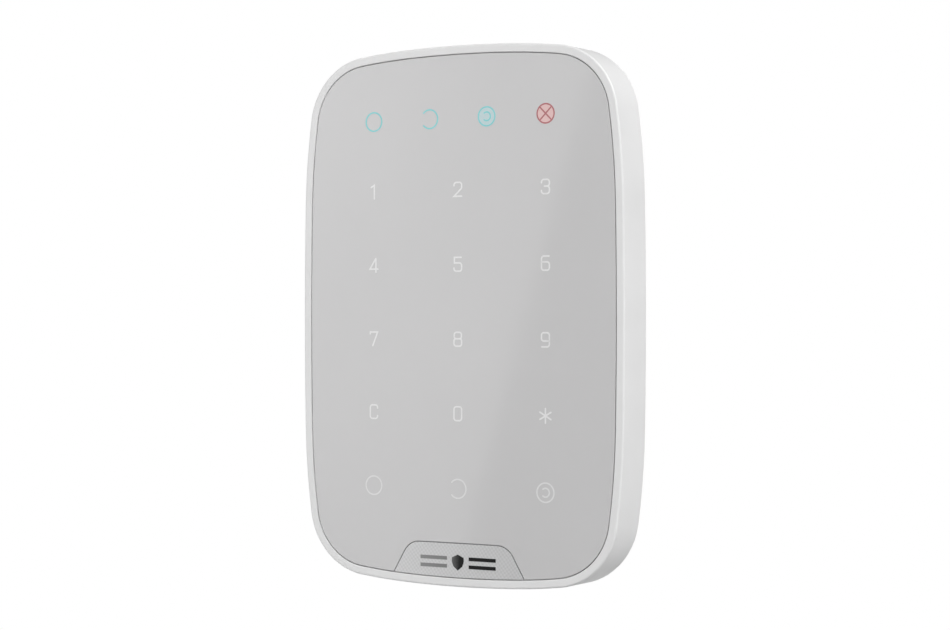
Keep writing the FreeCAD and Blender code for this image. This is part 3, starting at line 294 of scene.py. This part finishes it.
def metal(name, colour, roughness=0.3, grain=(1, 1, 14), size=0.9 * MM):
    """Plated or rolled metal. The grain is crowded on the axis with the largest number."""
    s = Shader(name, metallic=1.0)
    streak = s.noise(size, detail=4, place=s.mapped(scale=grain))
    tarnish = s.noise(4 * MM, detail=3)
    s.set("Base Color", s.ramp(tarnish, (0.35, tinted(colour, 0.8)), (0.65, colour)))
    s.set("Roughness", s.spread(s.sum((streak, 0.6), (tarnish, 0.4)), roughness - 0.08, roughness + 0.12))
    s.relief(streak, 0.002 * MM)
    return s.material


def circuit_board(name):
    """Green solder mask over copper tracks, with tinned pads."""
    s = Shader(name)
    mask, track, pad = (0.006, 0.085, 0.04), (0.012, 0.15, 0.065), (0.62, 0.58, 0.42)
    straight, slanting = (
        s.ramp(s.bands(1.3 * MM, place), (0.62, 0.0), (0.7, 1.0))
        for place in (s.mapped(shift=(0.4 * MM, 0, 0)), s.mapped(turn=(0, math.radians(45), 0))))
    patches = s.ramp(s.cells(9 * MM), (0.42, 0.0), (0.46, 1.0), interpolation="CONSTANT")
    lines = s.mix(patches, straight, slanting)
    vias = s.ramp(s.cells(2.6 * MM), (0.1, 1.0), (0.14, 0.0))
    s.set("Base Color", s.mix(vias, s.mix(lines, mask, track), pad))
    s.set("Roughness", s.spread(s.noise(2 * MM), 0.22, 0.34))
    s.relief(lines, 0.02 * MM)
    return s.material


def clear_resin(name, lens, cup):
    """An LED: a pale resin lens with a yellow phosphor in the middle."""
    s = Shader(name)
    mottle = s.cells(0.35 * MM)
    s.set("Base Color", s.ramp(mottle, (0.1, cup), (0.7, lens)))
    s.set("Roughness", s.spread(mottle, 0.12, 0.3, 0, 1))
    s.set("Subsurface Weight", 0.15)
    return s.material


def milky_film(name):
    """The diffuser: a translucent white film with a fine matt tooth."""
    s = Shader(name)
    tooth = s.noise(0.08 * MM)
    s.set("Base Color", s.ramp(tooth, (0.3, 0.84), (0.7, 0.9)))
    s.set("Roughness", s.spread(tooth, 0.5, 0.65))
    s.set("Subsurface Weight", 0.3)
    s.relief(tooth, 0.002 * MM)
    return s.material


def cell_sleeve(name, low, high, dark, copper):
    """A battery's printed sleeve: copper at the lower end of its row, dark blue above, and scuffed."""
    s = Shader(name)
    height = s.along("Z", low, high)
    scuffs = s.noise(3 * MM, detail=5, roughness=0.7)
    band = s.ramp(height, (0.0, copper), (0.24, copper), (0.25, dark), (1.0, dark), interpolation="CONSTANT")
    s.set("Base Color", s.mix(s.spread(scuffs, 0, 0.12, 0.55, 0.75), band, (0.5, 0.5, 0.5)))
    s.set("Metallic", 0.35)
    s.set("Roughness", s.spread(scuffs, 0.22, 0.42))
    s.relief(scuffs, 0.004 * MM)
    return s.material


def satin_label(name, colour):
    """A silver polyester label, rolled in one direction."""
    s = Shader(name, metallic=0.55)
    roll = s.noise(0.2 * MM, detail=3, place=s.mapped(scale=(1, 1, 12)))
    s.set("Base Color", s.ramp(roll, (0.3, tinted(colour, 0.94)), (0.7, tinted(colour, 1.04))))
    s.set("Roughness", s.spread(roll, 0.36, 0.48))
    s.relief(roll, 0.001 * MM)
    return s.material


def rubbery(name, colour):
    """Die-cut foam tape: matt, with open pores."""
    s = Shader(name, specular=0.2)
    pores = s.cells(0.18 * MM)
    s.set("Base Color", s.ramp(pores, (0.1, tinted(colour, 0.5)), (0.6, tinted(colour, 1.3))))
    s.set("Roughness", s.spread(pores, 0.8, 0.95, 0, 1))
    s.relief(pores, 0.03 * MM)
    return s.material


def extent(node, axis):
    """Where a CAD node starts and ends on one axis."""
    low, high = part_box(node)
    return getattr(low, axis), getattr(high, axis)


SLEEVE_BLUE, SLEEVE_COPPER = (0.012, 0.035, 0.10), (0.52, 0.27, 0.13)

FINISHES = {
    "housing_white": moulded("housing_white", 0.74, grain=0.2 * MM, depth=0.004 * MM, roughness=0.42),
    "panel_grey": polished_panel("panel_grey", (0.571, 0.567, 0.570)),
    "badge_grey": hatched_badge("badge_grey", (0.578, 0.578, 0.581), *extent("badge_plate", "x")),
    "emblem_black": fading_gloss("emblem_black", 0.01, 0.26, *extent("badge_mark", "x")),
    "adhesive_black": rubbery("adhesive_black", 0.03),
    "film_milky": milky_film("film_milky"),
    "mask_black": moulded("mask_black", 0.02, roughness=0.7),
    "board_green": circuit_board("board_green"),
    "led_yellow": clear_resin("led_yellow", (0.9, 0.86, 0.7), (0.85, 0.68, 0.12)),
    "chip_black": moulded("chip_black", 0.018, grain=0.1 * MM, depth=0.004 * MM, roughness=0.55, patchy=0.1),
    "shield_tin": metal("shield_tin", (0.66, 0.66, 0.64), roughness=0.32, grain=(14, 1, 1)),
    "antenna_nickel": metal("antenna_nickel", (0.72, 0.69, 0.6), roughness=0.28),
    "sounder_black": moulded("sounder_black", 0.02, roughness=0.5, patchy=0.1),
    "can_aluminium": metal("can_aluminium", (0.8, 0.8, 0.81), roughness=0.3, grain=(1, 14, 1)),
    "crystal_steel": metal("crystal_steel", (0.72, 0.72, 0.72), roughness=0.2),
    "header_black": moulded("header_black", 0.02, roughness=0.5, patchy=0.1),
    "cradle_black": moulded("cradle_black", 0.03, roughness=0.5, patchy=0.1),
    "cell_wrap": cell_sleeve("cell_wrap", *extent("battery_1", "z"), SLEEVE_BLUE, SLEEVE_COPPER),
    "contact_nickel": metal("contact_nickel", (0.74, 0.71, 0.65), roughness=0.25, size=0.4 * MM),
    "cover_white": moulded("cover_white", 0.74, grain=0.3 * MM, depth=0.008 * MM, roughness=0.5),
    "label_silver": satin_label("label_silver", (0.72, 0.72, 0.73)),
    "screw_steel": metal("screw_steel", (0.62, 0.63, 0.64), roughness=0.3, size=0.3 * MM, grain=(1, 1, 1)),
    "insert_brass": metal("insert_brass", (0.75, 0.55, 0.24), roughness=0.25, size=0.3 * MM,
                          grain=(1, 1, 8)),
    "plunger_black": moulded("plunger_black", 0.03, roughness=0.4, patchy=0.1),
    "button_grey": moulded("button_grey", 0.3, grain=0.12 * MM, roughness=0.45, patchy=0.05),
    "switch_black": moulded("switch_black", 0.02, roughness=0.5, patchy=0.1),
    "bracket_white": moulded("bracket_white", 0.74, grain=0.3 * MM, depth=0.008 * MM, roughness=0.5),
}

SLOTS = {part["node"]: part["material_slot"] for part in frame["record"]["subparts"]}
for node, slot in SLOTS.items():
    materials = frame["nodes"][node].data.materials
    for index in range(len(materials)):
        materials[index] = FINISHES[slot]


# ---------------------------------------------------------------- pieces

BODY = "keypad"                              # every piece made here rides on it
WELD = 0.001 * MM                            # vertices closer than this become one
FLAT = math.radians(0.5)                     # faces that turn by less than this become one
SHARP = math.radians(40)                     # edges that turn by more than this are broken
CREASE = math.radians(30)                    # edges that turn by more than this are shaded sharp
RIM_DEPTH = 0.05 * MM                        # how far behind the front face an edge still is a rim edge


def added(name, data):
    """A new object in the scene."""
    thing = bpy.data.objects.new(name, data)
    bpy.context.scene.collection.objects.link(thing)
    return thing


def mesh_from(built, name, material):
    """The mesh data of a bmesh, in one finish."""
    data = bpy.data.meshes.new(name)
    built.to_mesh(data)
    built.free()
    data.materials.append(material)
    return data


def piece_from(built, name, material):
    """Makes the object of a bmesh, which rides on the keypad."""
    bmesh.ops.recalc_face_normals(built, faces=built.faces)
    piece = added(name, mesh_from(built, name, material))
    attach(piece, BODY)
    return piece


def softened(node, radius, merge=True, chosen=lambda edge: True):
    """A copy of a CAD node with its sharp edges broken by a small rounding, which stands for it."""
    built = bmesh.new()
    built.from_mesh(frame["nodes"][node].data)
    bmesh.ops.remove_doubles(built, verts=built.verts, dist=WELD)
    if merge:
        bmesh.ops.dissolve_limit(built, angle_limit=FLAT, verts=built.verts, edges=built.edges)
    edges = [e for e in built.edges if len(e.link_faces) == 2 and e.calc_face_angle() > SHARP and chosen(e)]
    bmesh.ops.bevel(
        built, geom=edges, offset=radius, offset_type="OFFSET", segments=3,
        profile=0.5, affect="EDGES", clamp_overlap=True)
    piece = piece_from(built, node + "_look", FINISHES[SLOTS[node]])
    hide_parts(node)
    data = piece.data
    if "custom_normal" in data.attributes:
        data.attributes.remove(data.attributes["custom_normal"])
    data.shade_smooth()
    data.set_sharp_from_angle(angle=CREASE)
    weighted = piece.modifiers.new("weighted", "WEIGHTED_NORMAL")
    weighted.keep_sharp = True


def is_front_rim(edge):
    """Whether an edge lies in the front face."""
    return max(vert.co.y for vert in edge.verts) < cad_bounds[0].y + RIM_DEPTH


softened("touch_panel", 0.20 * MM)
softened("badge_plate", 0.14 * MM)
softened("front_housing", 0.30 * MM, merge=False, chosen=is_front_rim)


def pressed_spring(node):
    """A copy of a CAD spring, with a mesh of its own, which stands for it."""
    spring = added(node + "_look", frame["nodes"][node].data.copy())
    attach(spring, BODY)
    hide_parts(node)
    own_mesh(spring)


pressed_spring("tamper_spring")


# ---------------------------------------------------------------- legends

PANEL_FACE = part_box("touch_panel")[0].y      # the panel's front surface
LEGEND_THICKNESS = 0.02 * MM
GLOW_THICKNESS = 0.01 * MM                   # the painted glow discs behind two status icons
STROKE_STEP = 0.004 * MM                     # crossing strokes of one legend lie at different heights
KEY_COLUMNS = (-27.6 * MM, 0.0, 27.6 * MM)
KEY_ROWS = (35.1 * MM, 14.35 * MM, -6.4 * MM, -27.0 * MM, -47.8 * MM)
STATUS_COLUMNS = (-27.6 * MM, -9.15 * MM, 9.2 * MM, 27.65 * MM)
STATUS_HEIGHT = 54.9 * MM
GLYPH_HALF_WIDTH = 1.22 * MM
GLYPH_HALF_HEIGHT = 1.92 * MM
GLYPH_STROKE = 0.46 * MM
ICON_STROKE = 0.42 * MM
ICON_RADIUS = 2.62 * MM
INNER_RADIUS = 1.2 * MM
CROSS_REACH = 0.60 * math.sqrt(2) * ICON_RADIUS
STAR_REACH = 1.95 * MM
ARC_STEP = math.radians(9)
CAP_STEPS = 6                                # straight pieces in a stroke's round end
MITRE_LIMIT = 0.35                           # keeps a stroke's outline from running far out at a corner

# A glyph's strokes, in units of its half width and half height: each point has a corner rounding,
# as a share of the half width. A stroke whose first point comes again at its end is closed.
HOOK = [(0.9, 1, 0), (-1, 1, 0.6), (-1, -1, 0.6), (1, -1, 0.6), (1, 0.18, 0.6), (-0.8, 0.18, 0)]
GLYPHS = {
    "1": [[(-0.75, 0.68, 0), (0.1, 1, 0), (0.1, -1, 0)]],
    "2": [[(-1, 0.55, 0), (-1, 1, 0.6), (1, 1, 0.6), (1, 0.15, 0.5), (-1, -1, 0), (1, -1, 0)]],
    "3": [
        [(-1, 0.55, 0), (-1, 1, 0.6), (1, 1, 0.6), (1, 0.05, 0.6), (-0.25, 0.05, 0)],
        [(-0.25, 0.05, 0), (1, 0.05, 0.6), (1, -1, 0.6), (-1, -1, 0.6), (-1, -0.55, 0)],
    ],
    "4": [[(0.5, 1, 0), (-1.1, -0.55, 0), (1.1, -0.55, 0)], [(0.55, 1, 0), (0.55, -1, 0)]],
    "5": [[
        (0.9, 1, 0), (-0.9, 1, 0), (-0.9, 0.2, 0), (1, 0.2, 0.6), (1, -1, 0.6), (-1, -1, 0.6),
        (-1, -0.55, 0),
    ]],
    "6": [HOOK],
    "7": [[(-1, 0.72, 0), (-1, 1, 0), (1, 1, 0), (-0.3, -1, 0)]],
    "8": [
        [(-0.95, 0.08, 0.5), (-0.95, 1, 0.55), (0.95, 1, 0.55), (0.95, 0.08, 0.5), (-0.95, 0.08, 0.5)],
        [(-1, -1, 0.6), (-1, 0.08, 0.5), (1, 0.08, 0.5), (1, -1, 0.6), (-1, -1, 0.6)],
    ],
    "9": [[(-u, -v, r) for u, v, r in HOOK]],
    "C": [[(1, 0.55, 0), (1, 1, 0.6), (-1, 1, 0.6), (-1, -1, 0.6), (1, -1, 0.6), (1, -0.55, 0)]],
    "0": [[(-1, -1, 0.6), (-1, 1, 0.6), (1, 1, 0.6), (1, -1, 0.6), (-1, -1, 0.6)]],
}


def rounded_path(points, closed):
    """The polyline through points (u, v, radius), with its corners rounded by arcs."""
    path = []
    count = len(points)
    for i, (u, v, radius) in enumerate(points):
        corner = Vector((u, v))
        if radius == 0 or (not closed and i in (0, count - 1)):
            path.append(corner)
            continue
        before = (Vector(points[i - 1][:2]) - corner).normalized()
        after = (Vector(points[(i + 1) % count][:2]) - corner).normalized()
        half = before.angle(after) / 2
        reach = radius / math.tan(half)
        start, stop = corner + before * reach, corner + after * reach
        centre = corner + (before + after).normalized() * (radius / math.sin(half))
        sweep = (start - centre).angle_signed(stop - centre)
        steps = max(2, round(abs(sweep) / ARC_STEP))
        for k in range(steps + 1):
            path.append(centre + Matrix.Rotation(-sweep * k / steps, 2) @ (start - centre))
    return path


def arc_path(radius, start, stop):
    """Points on an arc about the origin, angles in degrees."""
    steps = max(8, round(abs(math.radians(stop - start)) / ARC_STEP))
    angles = (math.radians(start + (stop - start) * k / steps) for k in range(steps + 1))
    return [Vector((radius * math.cos(a), radius * math.sin(a))) for a in angles]


def cap(middle, arm, outward):
    """Points of a half circle from one side of a ribbon's end round to the other, without its ends."""
    side = arm.normalized()
    tip = outward.normalized()
    angles = (math.pi * k / CAP_STEPS for k in range(1, CAP_STEPS))
    return [middle + (side * math.cos(a) + tip * math.sin(a)) * arm.length for a in angles]


def edge_points(path, closed, half):
    """The points left and right of a path, at half the ribbon's width from it."""
    count = len(path)
    lefts, rights = [], []
    for i, point in enumerate(path):
        into = point - path[i - 1] if closed or i > 0 else path[1] - point
        out = path[(i + 1) % count] - point if closed or i < count - 1 else into
        into, out = into.normalized(), out.normalized()
        along = (into + out).normalized()
        across = Vector((-along.y, along.x))
        reach = half / max(MITRE_LIMIT, abs(across.dot(Vector((-into.y, into.x)))))
        lefts.append(point + across * reach)
        rights.append(point - across * reach)
    return lefts, rights


def ribbon(mesh, path, closed, width, centre, thickness):
    """Adds a flat closed solid that follows a path on the panel's face, with round ends."""
    count = len(path)
    lefts, rights = edge_points(path, closed, width / 2)

    def at_height(points, y):
        return [mesh.verts.new((centre.x + p.x, y, centre.y + p.y)) for p in points]

    if closed:
        back_left, back_right = at_height(lefts, PANEL_FACE), at_height(rights, PANEL_FACE)
        front_left, front_right = (at_height(side, PANEL_FACE - thickness) for side in (lefts, rights))
        for k in range(count):
            n = (k + 1) % count
            mesh.faces.new((back_left[k], back_left[n], back_right[n], back_right[k]))
            mesh.faces.new((front_left[k], front_right[k], front_right[n], front_left[n]))
            mesh.faces.new((back_left[n], back_left[k], front_left[k], front_left[n]))
            mesh.faces.new((back_right[k], back_right[n], front_right[n], front_right[k]))
        return
    start_cap = cap(path[0], rights[0] - path[0], path[0] - path[1])
    end_cap = cap(path[-1], lefts[-1] - path[-1], path[-1] - path[-2])
    rims = []
    for y, flip in ((PANEL_FACE, True), (PANEL_FACE - thickness, False)):
        left, right, first, last = (at_height(group, y) for group in (lefts, rights, start_cap, end_cap))
        faces = [(left[k], left[k + 1], right[k + 1], right[k]) for k in range(count - 1)]
        faces += [(right[0], *first, left[0]), (left[-1], *last, right[-1])]
        for corners in faces:
            mesh.faces.new(corners[::-1] if flip else corners)
        rims.append(left + last + right[::-1] + first)
    back, front = rims
    for k in range(len(back)):
        n = (k + 1) % len(back)
        mesh.faces.new((back[k], back[n], front[n], front[k]))


def legend(name, strokes, width, column, row, material):
    """One printed legend. Each stroke is a path in metres and whether it is closed."""
    mesh = bmesh.new()
    for layer, (path, closed) in enumerate(strokes):
        thickness = LEGEND_THICKNESS + layer * STROKE_STEP
        ribbon(mesh, path, closed, width, Vector((column, row)), thickness)
    piece_from(mesh, name, material)


def glyph_strokes(character):
    """The strokes of a character, as paths in metres, each with whether it is closed."""
    strokes = []
    for points in GLYPHS[character]:
        closed = points[0] == points[-1]
        sized = [(u * GLYPH_HALF_WIDTH, v * GLYPH_HALF_HEIGHT, r * GLYPH_HALF_WIDTH) for u, v, r in points]
        strokes.append((rounded_path(sized[:-1] if closed else sized, closed), closed))
    return strokes


def line_through(reach, angle):
    """A straight stroke through the middle, reach to either side, at an angle in degrees."""
    arm = Vector((math.cos(math.radians(angle)), math.sin(math.radians(angle)))) * reach
    return [-arm, arm], False


def full_circle(radius):
    """A closed circular stroke."""
    return arc_path(radius, 0, 360)[:-1], True


def open_circle(radius, gap):
    """A circle that is open at the left over gap degrees."""
    return arc_path(radius, -180 + gap / 2, 180 - gap / 2), False


def painted_glow_disc(name, column, material):
    """A thin disc on the panel's face, behind a status icon that is lit: a painted glow, a pale tint that
    gives off no light.
    """
    disc = bmesh.new()
    bmesh.ops.create_cone(
        disc, cap_ends=True, segments=48, radius1=ICON_RADIUS, radius2=ICON_RADIUS, depth=GLOW_THICKNESS,
        matrix=Matrix.Translation((column, PANEL_FACE - GLOW_THICKNESS / 2, STATUS_HEIGHT))
        @ Matrix.Rotation(math.pi / 2, 4, "X"))
    piece_from(disc, name, material)


STAR = [line_through(STAR_REACH, angle) for angle in (30, 90, 150)]
ICONS = {
    "full": [full_circle(ICON_RADIUS)],
    "open": [open_circle(ICON_RADIUS, 84)],
    "double": [full_circle(ICON_RADIUS), open_circle(INNER_RADIUS, 100)],
    "crossed": [
        full_circle(ICON_RADIUS),
        line_through(CROSS_REACH, 45),
        line_through(CROSS_REACH, -45),
    ],
}

legend_white = printed("legend_white", 0.74)
icon_white = printed("icon_white", 0.68)
status_cyan = printed("status_cyan", (0.21, 0.60, 0.62))
status_red = printed("status_red", (0.43, 0.14, 0.15))
# painted glow: pale tints that stand for the light of two lit status icons; they are not lamps
PAINTED_GLOWS = {
    "crossed": printed("status_glow", (0.72, 0.49, 0.48)),
    "double": printed("status_glow_cyan", (0.50, 0.63, 0.65)),
}

for row, characters in zip(KEY_ROWS, ("123", "456", "789", "C0*")):
    for column, character in zip(KEY_COLUMNS, characters):
        label, strokes = ("star", STAR) if character == "*" else (character, glyph_strokes(character))
        legend("legend_" + label, strokes, GLYPH_STROKE, column, row, legend_white)

for column, icon in zip(KEY_COLUMNS, ("full", "open", "double")):
    legend("key_icon_" + icon, ICONS[icon], ICON_STROKE, column, KEY_ROWS[-1], icon_white)

for column, icon in zip(STATUS_COLUMNS, ("full", "open", "double", "crossed")):
    ink = status_red if icon == "crossed" else status_cyan
    legend("status_icon_" + icon, ICONS[icon], ICON_STROKE, column, STATUS_HEIGHT, ink)
    if icon in PAINTED_GLOWS:
        painted_glow_disc("status_glow_" + icon, column, PAINTED_GLOWS[icon])


# ---------------------------------------------------------------- studio

def staged(built, name, drop, shader):
    """A floor or a card, as far below the keypad as drop says."""
    thing = added(name, mesh_from(built, name, shader.material))
    thing.location.z = cad_bounds[0].z - drop
    return thing


def studio_floor(drop, radius):
    """A plain pale floor, well below the keypad, which hangs on a wall when in use."""
    disc = bmesh.new()
    bmesh.ops.create_circle(disc, cap_ends=True, segments=96, radius=radius)
    s = Shader("floor_pale", roughness=0.8, specular=0.2)
    s.set("Base Color", s.ramp(s.noise(0.5, detail=3), (0.3, 0.86), (0.7, 0.9)))
    staged(disc, "floor", drop, s)


def dark_card(drop, size):
    """A dark card under the keypad, unseen by the camera. It keeps the floor's light off the underside."""
    square = bmesh.new()
    bmesh.ops.create_grid(square, x_segments=1, y_segments=1, size=size / 2)
    s = Shader("card_black", roughness=0.9, specular=0.0)
    s.set("Base Color", s.ramp(s.noise(0.1), (0.3, 0.05), (0.7, 0.07)))
    card = staged(square, "dark_card", drop, s)
    card.visible_camera = False
    card.visible_shadow = False


def softbox(name, place, size, power, roll=0.0):
    """A rectangular area light that faces the keypad, turned about its own axis by roll degrees."""
    light = bpy.data.lights.new(name, "AREA")
    light.shape = "RECTANGLE"
    light.size, light.size_y = size
    light.energy = power
    lamp = added(name, light)
    lamp.location = place
    facing = (-Vector(place)).to_track_quat("-Z", "Y").to_matrix().to_4x4()
    lamp.rotation_mode = "QUATERNION"
    lamp.rotation_quaternion = (facing @ Matrix.Rotation(math.radians(roll), 4, "Z")).to_quaternion()
    return light


def brighten_corner(light, across, upward, gain):
    """Makes a light up to gain times as strong, growing along X from across[0] to across[1] and along Z
    from upward[0] to upward[1], so that its reflection fades instead of being one even tone."""
    nodes = Nodes(light)
    place = nodes.add("ShaderNodeNewGeometry").outputs["Position"]
    growth = nodes.computed(
        "MULTIPLY",
        nodes.spread(nodes.part(place, "X"), 0, 1, *across),
        nodes.spread(nodes.part(place, "Z"), 0, 1, *upward))
    glow = nodes.add("ShaderNodeEmission")
    nodes.link(nodes.spread(growth, 1, gain, 0, 1), glow.inputs["Strength"])
    nodes.link(glow.outputs["Emission"], nodes.add("ShaderNodeOutputLight").inputs["Surface"])


def studio_world(below, level, above, ground, horizon):
    """The backdrop: white to the camera at eye level, and the floor's own tone further down, where it
    goes on past the floor's edge. As light it goes from below through level to above. Heights are 0
    straight down and 1 straight up, and ground turns to white between the two in horizon."""
    world = bpy.data.worlds.new("studio")
    bpy.context.scene.world = world
    nodes = Nodes(world)
    direction = nodes.add("ShaderNodeTexCoord").outputs["Generated"]
    height = nodes.spread(nodes.part(direction, "Z"), 0, 1, -1, 1)
    light = nodes.ramp(height, (0.0, below), (0.5, level), (1.0, above))
    backdrop = nodes.ramp(height, (horizon[0], ground), (horizon[1], 1.0))
    seen = nodes.add("ShaderNodeLightPath").outputs["Is Camera Ray"]
    background = nodes.add("ShaderNodeBackground")
    nodes.link(nodes.mix(seen, light, backdrop), background.inputs["Color"])
    nodes.link(background.outputs["Background"], nodes.add("ShaderNodeOutputWorld").inputs["Surface"])


def studio_camera(azimuth, distance, focal, shift):
    """A level camera that looks at the middle of the front face. Azimuth 0 looks along +Y."""
    data = bpy.data.cameras.new("camera")
    data.lens = focal
    data.shift_x, data.shift_y = shift
    camera = added("camera", data)
    turn = math.radians(azimuth)
    front = Vector((0, cad_bounds[0].y, 0))
    camera.location = front + Vector((math.sin(turn), -math.cos(turn), 0)) * distance
    camera.rotation_euler = (math.pi / 2, 0, turn)
    bpy.context.scene.camera = camera


studio_floor(drop=0.45, radius=1.35)
dark_card(drop=0.12, size=0.18)
studio_world(below=0.09, level=0.23, above=0.28, ground=0.76, horizon=(0.40, 0.43))
reflected = softbox("reflected_box", place=(-0.915, -1.0, 0.05), size=(0.7, 1.3), power=4.5, roll=-14.6)
brighten_corner(reflected, across=(-0.66, -0.82), upward=(-0.2, 0.2), gain=2.2)
softbox("front_box", place=(0.5, -1.5, 0.0), size=(0.9, 0.9), power=2.5)
softbox("upper_box", place=(0.9, -0.7, 1.1), size=(0.8, 0.8), power=12.0)
softbox("side_box", place=(1.2, 0.05, 1.0), size=(0.6, 0.6), power=12.3)
softbox("back_box", place=(-0.6, 1.3, 0.05), size=(0.6, 0.6), power=7.0)
studio_camera(azimuth=30.76, distance=0.6412, focal=87.8, shift=(0.0182, 0.0012))
bpy.context.scene.view_settings.view_transform = "Standard"
